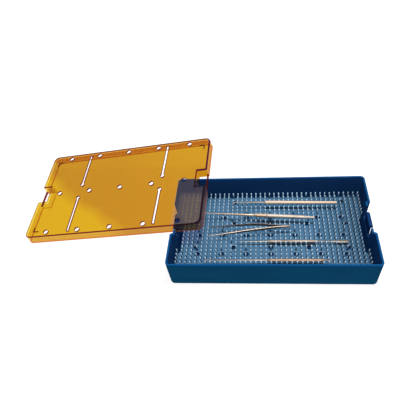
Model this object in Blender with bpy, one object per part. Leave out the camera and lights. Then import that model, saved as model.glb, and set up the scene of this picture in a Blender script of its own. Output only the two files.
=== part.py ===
"""Instrument tray: deep base with a finger mat, a lid leaning off it and five small hand instruments.

Lengths in the constants are millimetres. The origin is the middle of the underside of the base,
+X runs along the tray to its right end, +Y to its back and +Z up.
"""

import math

import bmesh
import bpy
from mathutils import Euler, Vector
from mathutils.geometry import delaunay_2d_cdt

MM = 0.001
SHARP_ANGLE = 35

# Finishes: colour, roughness, metallic, alpha
BLUE = ((0.008, 0.05, 0.11), 0.4)
SILICONE = ((0.17, 0.28, 0.4), 0.6)
AMBER = ((0.75, 0.38, 0.02), 0.2, 0.0, 0.6)
ALLOY = ((0.72, 0.58, 0.42), 0.3, 1.0)
STEEL = ((0.45, 0.42, 0.38), 0.3, 1.0)

# Base
BASE_HALF_X, BASE_HALF_Y, BASE_H = 127.0, 76.0, 41.0
DRAFT = 1.9
WALL = 2.5
FLOOR = 2.5
FOOT_ROUND, RIM_CHAMFER, FLOOR_CHAMFER = 3.0, 0.5, 0.6
CORNER_OUT, CORNER_IN = 5.5, 2.6
RECESS_FACE_X, RECESS_HALF, RECESS_MOUTH_HALF = 123.3, 24.5, 26.4
LATCH_GAP_HALF, LATCH_GAP_Z = 18.8, 22.0
GAP_CUT_X0, GAP_CUT_X1, GAP_CUT_TOP = 112, 130, 50
VENT_R, VENT_SIDES = 2.0, 10

# Latch tongue
TONGUE_HALF = 11.8
HINGE_X, HINGE_Z, TONGUE_R = 121.2, 23.4, 1.1
HOOK_X, HOOK_Z, HOOK_TOP, HOOK_LIP = 125.2, 33.6, 37.4, 1.0
TONGUE_TOP_X, HOOK_TOP_X, TONGUE_CHAMFER = 120.3, 123.5, 0.4

# Finger mat
PITCH = 6.35
COLUMNS, ROWS = 19, 11
MAT_HALF_X, MAT_HALF_Y = 122.0, 71.1
MAT_Z0, MAT_Z1 = 2.8, 6.5
MAT_NOTCH_ROWS = 4
PIN_H, PIN_R, PIN_SIDES = 10.0, 0.95, 4
DRAIN_R, DRAIN_SIDES = 3.05, 10
STEP_A, STEP_B = 31.75, 48.8
DRAIN_ROWS_A = (0.0, 31.75)
DRAIN_ROWS_B = (20.8, 61.2)
CLEAR = 0.3
HEIGHT_STEPS = 40
SHARP_SHARE, CROWN_SHARE, LEAST_PIN = 0.85, 0.6, 0.8
NOTCH_SPLAY, MAT_CORNER = 2.6, ((0.0, 1.2), (0.8, 0.35), (1.7, 0.0))

# Lid, in its own frame: the origin is the middle of the top face
LID_HALF_X, LID_HALF_Y, LID_DEPTH = 126.6, 76.6, 14.0
LID_FLARE = 0.4
LID_WALL, LID_PLATE, LID_ROUND = 2.0, 2.4, 1.2
LID_CORNER_OUT, LID_CORNER_IN = 8.0, 6.0
NOTCH_X, NOTCH_HALF = 112.6, 13.8
BAR_X0, BAR_X1, BAR_H = 123.3, 126.2, 2.8
HOLE_STEP_X, HOLE_STEP_Y, HOLE_R, HOLE_SIDES = 47.7, 69.0, 3.3, 14
SLOT_X, SLOT_Y0, SLOT_Y1, SLOT_HALF, SLOT_END_R = 62.0, 12.2, 70.6, 1.7, 2.9
RIB_X, RIB_Y, RIB_LEN, RIB_T, RIB_H = 118.0, 66.0, 9.0, 1.4, 3.2
BAR_OVERLAP, BAR_RISE, RIB_OVERLAP = 1.0, 0.2, 0.6
LID_AT = (-209.93, 61.42, 41.99)
LID_TURN = (6.11, -9.03, -2.57)

# Instruments: each piece is a list of (x, y, z, radius) stations along its middle line
Z_ON = 19.1
HOOK_PIECES = {
    "hook_shaft": [
        (-51.5, 41.6, Z_ON, 0.30), (-51.5, 48.2, Z_ON, 0.55), (-49.9, 49.7, Z_ON, 0.65),
        (-30.0, 49.3, Z_ON, 0.80), (-6.6, 48.9, Z_ON, 1.05),
    ],
    "hook_handle": [
        (-6.4, 48.9, Z_ON, 2.1), (-5.6, 48.88, Z_ON, 2.4), (40.0, 47.95, Z_ON, 2.2),
        (88.0, 46.97, Z_ON, 1.75), (90.0, 46.93, Z_ON, 1.2),
    ],
}
PROBE_PIECES = {
    "probe_tip": [
        (-92.0, 29.87, Z_ON, 0.45), (-60.0, 27.69, Z_ON, 0.9), (-30.0, 25.64, Z_ON, 1.5),
        (-19.0, 24.89, Z_ON, 1.7),
    ],
    "probe_collar": [(-18.8, 24.88, Z_ON, 2.35), (-18.3, 24.84, Z_ON, 2.6),
                     (-4.5, 23.90, Z_ON, 2.6), (-4.0, 23.87, Z_ON, 2.35)],
    "probe_handle": [(-3.8, 23.86, Z_ON, 2.3), (-3.3, 23.82, Z_ON, 2.5), (46.0, 20.46, Z_ON, 2.15)],
    "probe_cap": [(46.2, 20.45, Z_ON, 1.9), (49.0, 20.26, Z_ON, 1.5), (57.5, 19.68, Z_ON, 1.5),
                  (58.2, 19.63, Z_ON, 1.1)],
}
SPATULA_Y, SPATULA_Z = -15.9, 12.6
SPATULA_PIECES = {
    "spatula_shaft": [(-42.5, SPATULA_Y, SPATULA_Z, 0.45), (-30.0, SPATULA_Y, SPATULA_Z, 0.75),
                      (-7.0, SPATULA_Y, SPATULA_Z, 1.2)],
    "spatula_handle": [
        (-6.8, SPATULA_Y, SPATULA_Z, 1.4), (2.0, SPATULA_Y, SPATULA_Z, 2.1),
        (52.0, SPATULA_Y, SPATULA_Z, 2.1), (60.5, SPATULA_Y, SPATULA_Z, 1.3),
    ],
    "spatula_blade": [
        (60.7, SPATULA_Y, SPATULA_Z, 1.0), (64.0, SPATULA_Y, SPATULA_Z, 0.8),
        (78.0, SPATULA_Y, SPATULA_Z, 0.85), (84.0, SPATULA_Y, SPATULA_Z, 1.9),
        (96.0, SPATULA_Y, SPATULA_Z, 2.1), (98.5, SPATULA_Y, SPATULA_Z, 1.1),
    ],
}
CURETTE_Y, CURETTE_Z = -47.6, 14.0
CURETTE_PIECES = {
    "curette_shaft": [
        (-84.6, CURETTE_Y, CURETTE_Z + 4.2, 0.3), (-84.2, CURETTE_Y, CURETTE_Z + 1.0, 0.5),
        (-82.8, CURETTE_Y, CURETTE_Z, 0.6), (-40.0, CURETTE_Y, CURETTE_Z, 0.9),
        (-5.2, CURETTE_Y, CURETTE_Z, 1.3),
    ],
    "curette_handle": [
        (-5.0, CURETTE_Y, CURETTE_Z, 1.5), (-1.0, CURETTE_Y, CURETTE_Z, 2.2),
        (30.0, CURETTE_Y, CURETTE_Z, 2.3), (62.0, CURETTE_Y, CURETTE_Z, 2.2),
        (65.0, CURETTE_Y, CURETTE_Z, 1.6),
    ],
    "curette_cap": [
        (65.2, CURETTE_Y, CURETTE_Z, 1.2), (66.5, CURETTE_Y, CURETTE_Z, 0.95),
        (73.5, CURETTE_Y, CURETTE_Z, 0.95), (74.2, CURETTE_Y, CURETTE_Z, 0.6),
    ],
}

# Forceps: flat arms lying on edge, from the tips to the heel
FORCEPS_Z = 18.9
HEEL_X0, HEEL_X1, HEEL_Y, HEEL_TAPER = 14.0, 26.0, 4.4, 4.0
HEEL_HALF, HEEL_MID_HALF, HEEL_END_HALF, HEEL_HALF_H = 1.6, 1.4, 0.6, 1.5
HEEL_ROOM = 1.8
ARM_BACK = [(-79.8, 3.6), (-60.0, 5.6), (-35.0, 8.2), (-12.0, 8.6), (6.0, 6.2), (13.7, 5.25)]
ARM_FRONT = [(-79.8, -11.6), (-60.0, -8.4), (-35.0, -3.6), (-12.0, 0.2), (6.0, 2.7), (13.7, 3.55)]
ARM_HALF_HEIGHT = [0.45, 1.1, 1.9, 2.1, 1.9, 1.6]
ARM_HALF_THICK = [0.35, 0.6, 0.75, 0.75, 0.7, 0.6]


def clear_scene():
    for old in list(bpy.data.objects):
        bpy.data.objects.remove(old, do_unlink=True)


def make_material(name, colour, roughness, metallic=0.0, alpha=1.0):
    material = bpy.data.materials.new(name)
    material.use_nodes = True
    shader = material.node_tree.nodes["Principled BSDF"]
    shader.inputs["Base Color"].default_value = (*colour, 1.0)
    shader.inputs["Roughness"].default_value = roughness
    shader.inputs["Metallic"].default_value = metallic
    shader.inputs["Alpha"].default_value = alpha
    return material


def add_object(name, points, faces, material, hide=False):
    """A mesh object from points in millimetres, its faces turned outward."""
    mesh = bpy.data.meshes.new(name)
    mesh.from_pydata([Vector(p) * MM for p in points], [], faces)
    shape = bmesh.new()
    shape.from_mesh(mesh)
    bmesh.ops.recalc_face_normals(shape, faces=shape.faces)
    shape.to_mesh(mesh)
    shape.free()
    mesh.shade_smooth()
    mesh.set_sharp_from_angle(angle=math.radians(SHARP_ANGLE))
    if material:
        mesh.materials.append(material)
    obj = bpy.data.objects.new(name, mesh)
    bpy.context.scene.collection.objects.link(obj)
    if hide:
        obj.hide_render = True
        obj.display_type = "WIRE"
    return obj


def boolean(obj, other, operation):
    modifier = obj.modifiers.new(operation.title(), "BOOLEAN")
    modifier.operation = operation
    modifier.solver = "EXACT"
    modifier.object = other


def circle(x, y, radius, count, turn=0.0):
    step = 2 * math.pi / count
    angles = [turn + i * step for i in range(count)]
    return [(x + radius * math.cos(a), y + radius * math.sin(a)) for a in angles]


def notched_outline(half_x, half_y, radius, notch_x, notch_half, mouth_half, segments=5):
    """A rounded rectangle, anticlockwise, with the middle of each short side set back to notch_x."""
    quarter = [(half_x, mouth_half)]
    centre_x, centre_y = half_x - radius, half_y - radius
    for i in range(segments + 1):
        angle = math.pi / 2 * i / segments
        quarter.append((centre_x + radius * math.cos(angle), centre_y + radius * math.sin(angle)))
    top = [(notch_x, notch_half)] + quarter
    top += [(-x, y) for x, y in reversed(top)]
    return top + [(-x, -y) for x, y in top]


def loft(loops):
    """Side faces between loops of equal length, and the points of all of them."""
    points = [p for loop in loops for p in loop]
    count = len(loops[0])
    faces = []
    for k in range(len(loops) - 1):
        for i in range(count):
            j = (i + 1) % count
            faces.append((k * count + i, k * count + j, (k + 1) * count + j, (k + 1) * count + i))
    return points, faces


def inside(x, y, polygon):
    hit = False
    for (x0, y0), (x1, y1) in zip(polygon, polygon[1:] + polygon[:1]):
        if (y0 > y) != (y1 > y) and x < (x1 - x0) * (y - y0) / (y1 - y0) + x0:
            hit = not hit
    return hit


def flat_fill(outer, holes):
    """Triangles that cover the outer polygon and leave the holes open, as indices into outer + holes."""
    points, edges, owner = [], [], []
    for number, polygon in enumerate([outer] + holes):
        start = len(points)
        points += [Vector(p[:2]) for p in polygon]
        owner += [number] * len(polygon)
        edges += [(start + i, start + (i + 1) % len(polygon)) for i in range(len(polygon))]
    _, _, faces, origins, _, _ = delaunay_2d_cdt(points, edges, [], 0, 1e-7)
    back = {new: old[0] for new, old in enumerate(origins) if old}
    triangles = []
    for face in faces:
        corners = [back[i] for i in face]
        x, y = (sum(points[c][axis] for c in corners) / 3 for axis in (0, 1))
        of_one_hole = {owner[c] for c in corners}
        if len(of_one_hole) == 1 and 0 not in of_one_hole:
            continue
        if inside(x, y, outer):
            triangles.append(tuple(corners))
    return triangles


def at_height(polygon, z):
    return [(x, y, z) for x, y in polygon]


class Builder:
    """Collects the points and faces of one closed body."""

    def __init__(self):
        self.points, self.faces = [], []

    def add_points(self, points):
        start = len(self.points)
        self.points += points
        return list(range(start, start + len(points)))

    def add_loft(self, rings):
        for lower, upper in zip(rings, rings[1:]):
            count = len(lower)
            for i in range(count):
                j = (i + 1) % count
                self.faces.append((lower[i], lower[j], upper[j], upper[i]))

    def add_fill(self, outer, holes):
        """Fills between rings of points that are already in the body."""
        order = outer + [i for hole in holes for i in hole]
        flat = [[self.points[i][:2] for i in ring] for ring in [outer] + holes]
        for triangle in flat_fill(flat[0], flat[1:]):
            self.faces.append(tuple(order[i] for i in triangle))


def drafted(z):
    return DRAFT * (1 - z / BASE_H)


def base_loop(inset, radius, z):
    outline = notched_outline(
        BASE_HALF_X - inset, BASE_HALF_Y - inset, radius,
        RECESS_FACE_X - inset, RECESS_HALF + inset, RECESS_MOUTH_HALF + inset,
    )
    return at_height(outline, z)


def drain_places():
    rows_a = {s * y for y in DRAIN_ROWS_A for s in (-1, 1)}
    rows_b = {s * y for y in DRAIN_ROWS_B for s in (-1, 1)}
    places = [(i * STEP_A, y) for y in sorted(rows_a) for i in range(-3, 4)]
    return places + [(i * STEP_B, y) for y in sorted(rows_b) for i in range(-2, 3)]


def make_base(material):
    body = Builder()
    rings = []
    for k in range(4):
        angle = math.pi / 2 * k / 3
        z = FOOT_ROUND * (1 - math.cos(angle))
        inset = drafted(z) + FOOT_ROUND * (1 - math.sin(angle))
        rings.append(body.add_points(base_loop(inset, CORNER_OUT, z)))
    edge = RIM_CHAMFER
    for inset, radius, z in (
        (drafted(BASE_H - edge), CORNER_OUT, BASE_H - edge), (edge, CORNER_OUT - edge, BASE_H),
        (WALL - edge, CORNER_IN + edge, BASE_H), (WALL, CORNER_IN, BASE_H - edge),
        (WALL + drafted(FLOOR + FLOOR_CHAMFER), CORNER_IN, FLOOR + FLOOR_CHAMFER),
        (WALL + drafted(FLOOR) + FLOOR_CHAMFER, CORNER_IN, FLOOR),
    ):
        rings.append(body.add_points(base_loop(inset, radius, z)))
    body.add_loft(rings)
    vents = [circle(x, y, VENT_R, VENT_SIDES) for x, y in drain_places() if (x, y) != (0.0, 0.0)]
    low = [body.add_points(at_height(vent, 0)) for vent in vents]
    high = [body.add_points(at_height(vent, FLOOR)) for vent in vents]
    for a, b in zip(low, high):
        body.add_loft([a, b])
    body.add_fill(rings[0], low)
    body.add_fill(rings[-1], high)
    base = add_object("base_shell", body.points, body.faces, material)
    for side in (-1, 1):
        x0, x1 = sorted((side * GAP_CUT_X0, side * GAP_CUT_X1))
        block = [(x, y, z) for z in (LATCH_GAP_Z, GAP_CUT_TOP) for x, y in (
            (x0, -LATCH_GAP_HALF), (x1, -LATCH_GAP_HALF), (x1, LATCH_GAP_HALF), (x0, LATCH_GAP_HALF))]
        _, sides = loft([block[:4], block[4:]])
        cutter = add_object(f"gap_cutter_{side}", block, sides + [(0, 1, 2, 3), (4, 5, 6, 7)], None, True)
        boolean(base, cutter, "DIFFERENCE")
    return base


def make_latch(name, side, material):
    """A tongue with an outward hook. Its origin is on the flex line at its foot."""
    outline = [(HINGE_X + TONGUE_R * math.cos(a), HINGE_Z + TONGUE_R * math.sin(a))
               for a in (math.pi + math.pi * i / 6 for i in range(7))]
    face_x, cut = HINGE_X + TONGUE_R, TONGUE_CHAMFER
    outline += [
        (face_x + cut / 2, HOOK_Z - 2 * cut), (face_x + 1.5 * cut, HOOK_Z), (HOOK_X, HOOK_Z),
        (HOOK_X, HOOK_Z + HOOK_LIP), (HOOK_TOP_X, HOOK_TOP - cut), (HOOK_TOP_X - 2.25 * cut, HOOK_TOP),
        (TONGUE_TOP_X + cut, HOOK_TOP), (TONGUE_TOP_X, HOOK_TOP - cut),
    ]
    front = [(side * (x - HINGE_X), -TONGUE_HALF, z - HINGE_Z) for x, z in outline]
    back = [(x, TONGUE_HALF, z) for x, _, z in front]
    points, faces = loft([front, back])
    count = len(outline)
    faces += [tuple(range(count)), tuple(range(count, 2 * count))]
    latch = add_object(name, points, faces, material)
    latch.location = Vector((side * HINGE_X, 0, HINGE_Z)) * MM
    return latch


def forceps_stations():
    """The forceps as round stations, for the room that the fingers leave."""
    arms = []
    for line in (ARM_BACK, ARM_FRONT):
        arms.append([(x, y, FORCEPS_Z, h) for (x, y), h in zip(line, ARM_HALF_HEIGHT)])
    arms.append([(HEEL_X0, HEEL_Y, FORCEPS_Z, HEEL_ROOM), (HEEL_X1, HEEL_Y, FORCEPS_Z, HEEL_ROOM)])
    return arms


def finger_height(x, y, lines):
    """How tall a finger at (x, y) stands: full height, or pressed down under a piece that lies on it."""
    height = PIN_H
    for line in lines:
        for (x0, y0, z0, r0), (x1, y1, z1, r1) in zip(line, line[1:]):
            run = (x1 - x0) ** 2 + (y1 - y0) ** 2
            t = 0.0 if run < 1e-9 else ((x - x0) * (x1 - x0) + (y - y0) * (y1 - y0)) / run
            t = min(1.0, max(0.0, t))
            side = math.hypot(x - x0 - t * (x1 - x0), y - y0 - t * (y1 - y0))
            z, reach = z0 + t * (z1 - z0), r0 + t * (r1 - r0) + CLEAR
            for step in range(HEIGHT_STEPS + 1):
                up = PIN_H * step / HEIGHT_STEPS
                thick = PIN_R * (1 - up / PIN_H)
                if math.hypot(max(0.0, side - thick), MAT_Z1 + up - z) < reach:
                    height = min(height, up)
                    break
    return height


def make_mat(material):
    lines = [line for pieces in (HOOK_PIECES, PROBE_PIECES, SPATULA_PIECES, CURETTE_PIECES)
             for line in pieces.values()] + forceps_stations()
    notch_y, notch_x = (MAT_NOTCH_ROWS + 0.5) * PITCH, (COLUMNS - 0.5) * PITCH
    right = [(notch_x, -notch_y), (notch_x, notch_y), (MAT_HALF_X, notch_y + NOTCH_SPLAY)]
    right += [(MAT_HALF_X - dx, MAT_HALF_Y - dy) for dx, dy in MAT_CORNER]
    left = [(-x, y) for x, y in reversed(right[1:])]
    outline = right[1:] + left
    outline += [(-x, -y) for x, y in right[1:]] + [(x, -y) for x, y in reversed(right[1:])]
    drains = drain_places()
    body = Builder()
    bottom = body.add_points(at_height(outline, MAT_Z0))
    top = body.add_points(at_height(outline, MAT_Z1))
    body.add_loft([bottom, top])
    low, high, feet = [], [], []
    for x, y in drains:
        rim = circle(x, y, DRAIN_R, DRAIN_SIDES)
        low.append(body.add_points(at_height(rim, MAT_Z0)))
        high.append(body.add_points(at_height(rim, MAT_Z1)))
        body.add_loft([low[-1], high[-1]])
    for i in range(-COLUMNS, COLUMNS + 1):
        for j in range(-ROWS, ROWS + 1):
            x, y = i * PITCH, j * PITCH
            if abs(i) == COLUMNS and abs(j) <= MAT_NOTCH_ROWS:
                continue
            if any(math.hypot(x - dx, y - dy) < DRAIN_R + PIN_R for dx, dy in drains):
                continue
            height = finger_height(x, y, lines)
            foot = body.add_points(at_height(circle(x, y, PIN_R, PIN_SIDES), MAT_Z1))
            feet.append(foot)
            if height > SHARP_SHARE * PIN_H:
                tip = body.add_points([(x, y, MAT_Z1 + height)])[0]
                body.faces += [(foot[k], foot[(k + 1) % PIN_SIDES], tip) for k in range(PIN_SIDES)]
            else:
                crown = circle(x, y, PIN_R * CROWN_SHARE, PIN_SIDES)
                crown = body.add_points(at_height(crown, MAT_Z1 + max(LEAST_PIN, height)))
                body.add_loft([foot, crown])
                body.faces.append(tuple(crown))
    body.add_fill(bottom, low)
    body.add_fill(top, high + feet)
    return add_object("silicone_mat", body.points, body.faces, material)


def lid_loop(inset, radius, z):
    outline = notched_outline(
        LID_HALF_X - inset, LID_HALF_Y - inset, radius,
        NOTCH_X - inset, NOTCH_HALF + inset, NOTCH_HALF + inset, 6,
    )
    return at_height(outline, z)


def slot_outline(x, sign):
    """A long slot with a round end towards the middle of the lid."""
    half = math.asin(SLOT_HALF / SLOT_END_R)
    count = 10
    ring = []
    for i in range(count + 1):
        angle = math.pi / 2 + half + (2 * math.pi - 2 * half) * i / count
        ring.append((x + SLOT_END_R * math.cos(angle), sign * (SLOT_Y0 + SLOT_END_R * math.sin(angle))))
    ring += [(x + SLOT_HALF, sign * SLOT_Y1), (x - SLOT_HALF, sign * SLOT_Y1)]
    return ring if sign > 0 else ring[::-1]


def box_faces(x0, x1, y0, y1, z0, z1, start=0):
    points = [(x, y, z) for z in (z0, z1) for x, y in ((x0, y0), (x1, y0), (x1, y1), (x0, y1))]
    faces = [(0, 1, 2, 3), (4, 5, 6, 7), (0, 1, 5, 4), (1, 2, 6, 5), (2, 3, 7, 6), (3, 0, 4, 7)]
    return points, [tuple(start + i for i in face) for face in faces]


def rib_points(sx, sy):
    """An L under one corner of the plate: its arms point to the middle of the lid."""
    inner, z0, z1 = RIB_T, -LID_PLATE - RIB_H, -LID_PLATE + RIB_OVERLAP
    plan = [(0, 0), (RIB_LEN, 0), (RIB_LEN, inner), (inner, inner), (inner, RIB_LEN), (0, RIB_LEN)]
    ring = [(sx * (RIB_X - x), sy * (RIB_Y - y)) for x, y in plan]
    points, faces = loft([at_height(ring, z0), at_height(ring, z1)])
    return points, faces + [tuple(range(6)), tuple(range(6, 12))]


def make_lid(material, parent):
    body = Builder()
    outer = []
    for k in range(3):
        angle = math.pi / 2 * k / 2
        inset = LID_ROUND * (1 - math.sin(angle))
        drop = LID_ROUND * (1 - math.cos(angle))
        outer.append(body.add_points(lid_loop(inset, LID_CORNER_OUT - inset, -drop)))
    for inset, radius, z in (
        (-LID_FLARE, LID_CORNER_OUT, -LID_DEPTH), (LID_WALL - LID_FLARE, LID_CORNER_IN, -LID_DEPTH),
        (LID_WALL, LID_CORNER_IN, -LID_PLATE),
    ):
        outer.append(body.add_points(lid_loop(inset, radius, z)))
    body.add_loft(outer)
    openings = [circle(i * HOLE_STEP_X, j * HOLE_STEP_Y, HOLE_R, HOLE_SIDES)
                for i in range(-2, 3) for j in (-1, 0, 1)]
    openings += [slot_outline(sx * SLOT_X, sy) for sx in (-1, 1) for sy in (-1, 1)]
    above = [body.add_points(at_height(ring, 0)) for ring in openings]
    below = [body.add_points(at_height(ring, -LID_PLATE)) for ring in openings]
    for a, b in zip(above, below):
        body.add_loft([a, b])
    body.add_fill(outer[0], above)
    body.add_fill(outer[-1], below)
    lid = add_object("lid", body.points, body.faces, material)
    added_points, added_faces = [], []
    for sx in (-1, 1):
        x0, x1 = sorted((sx * BAR_X0, sx * BAR_X1))
        half, z0, z1 = NOTCH_HALF + BAR_OVERLAP, BAR_RISE - LID_DEPTH, BAR_H - LID_DEPTH
        points, faces = box_faces(x0, x1, -half, half, z0, z1, len(added_points))
        added_points, added_faces = added_points + points, added_faces + faces
        for sy in (-1, 1):
            points, faces = rib_points(sx, sy)
            added_faces += [tuple(len(added_points) + i for i in face) for face in faces]
            added_points = added_points + points
    extras = add_object("lid_bars_and_ribs", added_points, added_faces, material, True)
    extras.parent = parent
    boolean(lid, extras, "UNION")
    lid.parent = parent
    return lid


def tube(name, stations, material, origin, segments=10):
    """A closed round bar through (x, y, z, radius) stations."""
    centres = [Vector(s[:3]) for s in stations]
    rings = []
    for i, (centre, station) in enumerate(zip(centres, stations)):
        ahead = centres[min(i + 1, len(centres) - 1)] - centres[max(i - 1, 0)]
        ahead.normalize()
        up = Vector((0, 0, 1)) if abs(ahead.z) < 0.8 else Vector((0, 1, 0))
        across = ahead.cross(up).normalized()
        up = across.cross(ahead)
        rings.append([tuple(centre + station[3] * (across * math.cos(a) + up * math.sin(a)) - origin)
                      for a in (2 * math.pi * k / segments for k in range(segments))])
    points, faces = loft(rings)
    faces += [tuple(range(segments)), tuple(range(len(points) - segments, len(points)))]
    obj = add_object(name, points, faces, material)
    obj.location = origin * MM
    return obj


def make_arm(name, line, material, origin):
    """One flat spring arm standing on edge, between the tip and the heel."""
    rings = []
    for (x, y), half_h, half_t in zip(line, ARM_HALF_HEIGHT, ARM_HALF_THICK):
        rings.append([(x - origin.x, y + dy - origin.y, FORCEPS_Z + dz - origin.z) for dy, dz in (
            (-half_t, -half_h), (half_t, -half_h), (half_t, half_h), (-half_t, half_h))])
    points, faces = loft(rings)
    faces += [(0, 1, 2, 3), tuple(range(len(points) - 4, len(points)))]
    arm = add_object(name, points, faces, material)
    arm.location = origin * MM
    return arm


def make_heel(material):
    half_widths = [(HEEL_X0, HEEL_HALF), (HEEL_X1 - HEEL_TAPER, HEEL_MID_HALF), (HEEL_X1, HEEL_END_HALF)]
    plan = [(x, HEEL_Y - half) for x, half in half_widths]
    plan += [(x, HEEL_Y + half) for x, half in reversed(half_widths)]
    points, faces = loft([at_height(plan, FORCEPS_Z + rise) for rise in (-HEEL_HALF_H, HEEL_HALF_H)])
    faces += [tuple(range(6)), tuple(range(6, 12))]
    return add_object("forceps_heel", points, faces, material)


def make_instruments():
    for pieces in (HOOK_PIECES, PROBE_PIECES, SPATULA_PIECES, CURETTE_PIECES):
        for name, stations in pieces.items():
            middle = Vector(stations[-1][:3]) if "shaft" in name or "tip" in name else Vector(stations[0][:3])
            tube(name, stations, make_material(name, *ALLOY), middle)
    make_heel(make_material("forceps_heel", *STEEL))
    for name, line in (("forceps_arm_back", ARM_BACK), ("forceps_arm_front", ARM_FRONT)):
        make_arm(name, line, make_material(name, *STEEL), Vector((*line[-1], FORCEPS_Z)))


def main():
    clear_scene()
    make_base(make_material("base_shell", *BLUE))
    make_latch("latch_left", -1, make_material("latch_left", *BLUE))
    make_latch("latch_right", 1, make_material("latch_right", *BLUE))
    make_mat(make_material("silicone_mat", *SILICONE))
    place = bpy.data.objects.new("lid_place", None)
    bpy.context.scene.collection.objects.link(place)
    place.location = Vector(LID_AT) * MM
    place.rotation_euler = Euler([math.radians(a) for a in LID_TURN], "XYZ")
    make_lid(make_material("lid", *AMBER), place)
    make_instruments()


main()
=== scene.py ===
"""Looks of the loaded instrument tray: moulded base, finger mat, clear amber lid and five instruments.

Lengths in the constants are millimetres in the row frame: the origin is the middle of the underside of
the base, +X runs to its right end, +Y to its back and +Z up. The lid is drawn in its own frame, whose
origin is the middle of its top face. Inside a material, places are metres in its piece's own frame.
"""

import math

import bmesh
import bpy
import numpy as np
from mathutils import Euler, Matrix, Vector
from mathutils.geometry import delaunay_2d_cdt

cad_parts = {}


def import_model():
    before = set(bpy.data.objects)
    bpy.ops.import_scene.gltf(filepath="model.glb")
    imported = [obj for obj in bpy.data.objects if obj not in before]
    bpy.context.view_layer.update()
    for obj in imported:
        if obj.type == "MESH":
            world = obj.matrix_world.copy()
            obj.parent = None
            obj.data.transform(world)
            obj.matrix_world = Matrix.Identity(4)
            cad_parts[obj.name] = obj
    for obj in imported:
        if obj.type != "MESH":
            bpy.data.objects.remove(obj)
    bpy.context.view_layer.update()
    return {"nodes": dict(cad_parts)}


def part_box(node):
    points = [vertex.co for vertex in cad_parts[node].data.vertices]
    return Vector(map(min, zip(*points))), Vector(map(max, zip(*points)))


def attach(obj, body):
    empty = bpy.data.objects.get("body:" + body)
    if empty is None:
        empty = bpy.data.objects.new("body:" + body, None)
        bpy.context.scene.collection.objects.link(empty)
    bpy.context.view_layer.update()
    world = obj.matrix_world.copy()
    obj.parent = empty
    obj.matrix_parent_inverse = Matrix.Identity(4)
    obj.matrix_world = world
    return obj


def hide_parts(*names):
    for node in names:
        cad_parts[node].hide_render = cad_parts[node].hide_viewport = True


MM = 0.001

# Edges that turn by more than this many degrees are drawn sharp
SHARP_PLASTIC, SHARP_RUBBER, SHARP_LID, SHARP_METAL = 35, 50, 30, 40
# The middle of a quarter round is this share of its radius from both of the planes that it joins
MID_ARC = 0.3
# Gap between shapes of one piece that only just stay apart
HAIR = 0.02

# Base
BASE_HALF_X, BASE_HALF_Y, BASE_H = 127.0, 76.0, 41.0
DRAFT, WALL, FLOOR, FLOOR_FILLET = 1.9, 2.5, 2.5, 0.6
FOOT_ROUND, RIM_ROUND = 3.0, 0.9
CORNER_OUT, CORNER_RIM, CORNER_IN = 5.5, 2.9, 2.6
RECESS_FACE_X, RECESS_HALF, RECESS_MOUTH_HALF = 123.3, 24.5, 26.4
RECESS_FILLET, RECESS_SHADE = 0.8, 1.0
LATCH_GAP_HALF, LATCH_GAP_Z, LATCH_GAP_FILLET = 18.8, 22.0, 1.2
GAP_CUTTER_X, GAP_CUTTER_TOP, GAP_CUTTER_CORNER = (112, 130), 50.0, 0.5
VENT_R, VENT_SIDES = 2.0, 20

# Latch tongue
TONGUE_HALF, TONGUE_BEVEL = 11.8, 0.25
HINGE_X, HINGE_Z, TONGUE_R = 121.2, 23.4, 1.1
HOOK_X, HOOK_Z, HOOK_TOP = 125.2, 33.6, 37.4

# Finger mat
PITCH, COLUMNS = 6.35, 19
MAT_HALF_X, MAT_HALF_Y, MAT_Z0, MAT_Z1 = 122.0, 71.1, 2.8, 6.5
MAT_NOTCH_ROWS, MAT_NOTCH_STEP, MAT_EDGE = 4, 2.0, 0.2
MAT_CORNER, MAT_NOTCH_CORNER = 1.0, 0.3
PIN_FOOT_R, PIN_R, PIN_TIP_R, PIN_H = 0.98, 1.04, 0.76, 10.0
PIN_FLARE, PIN_DOME, PIN_SIDES = 0.35, 0.5, 9
DRAIN_R, DRAIN_LIP, DRAIN_CLEAR, DRAIN_SIDES = 3.7, 0.2, 0.03, 20
# Drains in two sets of rows: how far apart they are, how many each side of the middle, and the rows' y
STEP_A, SIDE_A, ROWS_A = 31.75, 3, (-31.75, 0.0, 31.75)
STEP_B, SIDE_B, ROWS_B = 48.8, 2, (-61.2, -20.8, 20.8, 61.2)

# Lid, in its own frame
LID_HALF_X, LID_HALF_Y, LID_DEPTH = 126.6, 76.6, 14.0
LID_FLARE, LID_WALL, LID_PLATE = 0.4, 2.0, 2.4
LID_ROUND, LID_ROUND_STEPS, LID_STRIP = 1.4, 5, 0.9
LID_CORNER_OUT, LID_CORNER_IN, LID_FILLET = 8.0, 6.0, 0.8
LIP_BEVEL_X, LIP_BEVEL_Z = 0.3, 0.4
# Shares of the flare at the underside of the plate and at the shoulder below it
BROW_SHARE, SHOULDER_SHARE, SHOULDER_DROP = 0.07, 0.2, 1.2
# How far in from the sides the edge's dark line is drawn on the strip and on the brow
DARK_BACK, DARK_RIGHT, DARK_BROW, NEAR_NOTCH = 4.0, 12.0, 3.0, 3.0
NOTCH_X, NOTCH_HALF, NOTCH_FILLET = 112.6, 13.8, 0.7
BAR_X0, BAR_X1, BAR_LOW, BAR_HIGH = 125.0, 126.9, 11.6, 9.0
HOLE_STEP_X, HOLE_STEP_Y, HOLE_R, HOLE_LIP, HOLE_SIDES = 47.7, 69.0, 3.3, 0.3, 28
SLOT_X, SLOT_Y0, SLOT_Y1, SLOT_HALF, SLOT_END_R = 62.0, 12.2, 70.6, 1.7, 2.9
SLOT_END_STEPS = 16
RIB_X, RIB_Y, RIB_LEN, RIB_T, RIB_H = 118.0, 66.0, 8.0, 1.2, 1.5
LID_AT = (-209.93, 61.42, 41.99)
LID_TURN = (6.11, -9.03, -2.57)

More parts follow.
